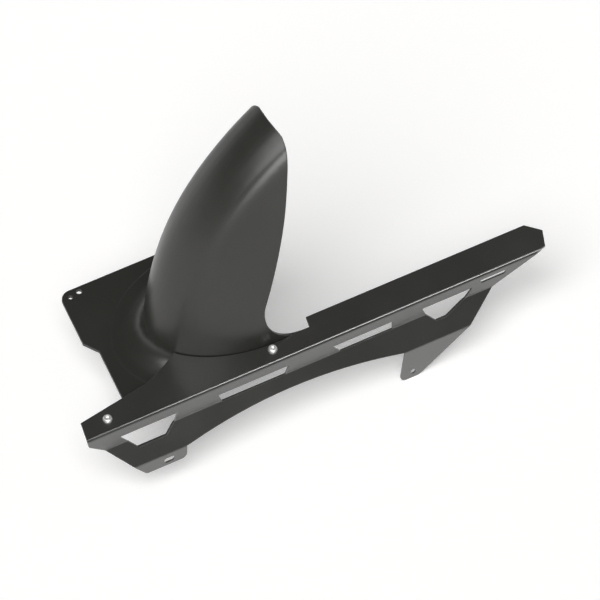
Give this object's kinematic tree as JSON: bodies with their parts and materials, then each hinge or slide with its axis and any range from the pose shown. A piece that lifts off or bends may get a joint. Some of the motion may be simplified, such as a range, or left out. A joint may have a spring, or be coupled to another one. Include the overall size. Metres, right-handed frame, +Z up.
{
  "type": "motorcycle rear fender with chain guard",
  "caption": "Motorcycle rear-wheel fender: moulded black shell arching over the tyre, with a low mounting plate, screwed to a folded black metal chain guard with windows and tabs",
  "frame": {"origin": "centre of the hole in the guard's rear tab, on the tab's outer face", "axes": "+X rearward along the guard's top fold, +Y across the wheel away from the chain side, +Z up as worn"},
  "size_m": [0.5718, 0.238, 0.3487],
  "materials": {
    "guard_coat": "satin",
    "shell_plastic": "satin",
    "fastener_steel": "satin"
  },
  "bodies": {
    "root": {"chain_guard": "guard_coat", "fender_shell": "shell_plastic", "button_screws": "fastener_steel", "washers": "fastener_steel", "lock_nuts": "fastener_steel"}
  },
  "joints": []
}
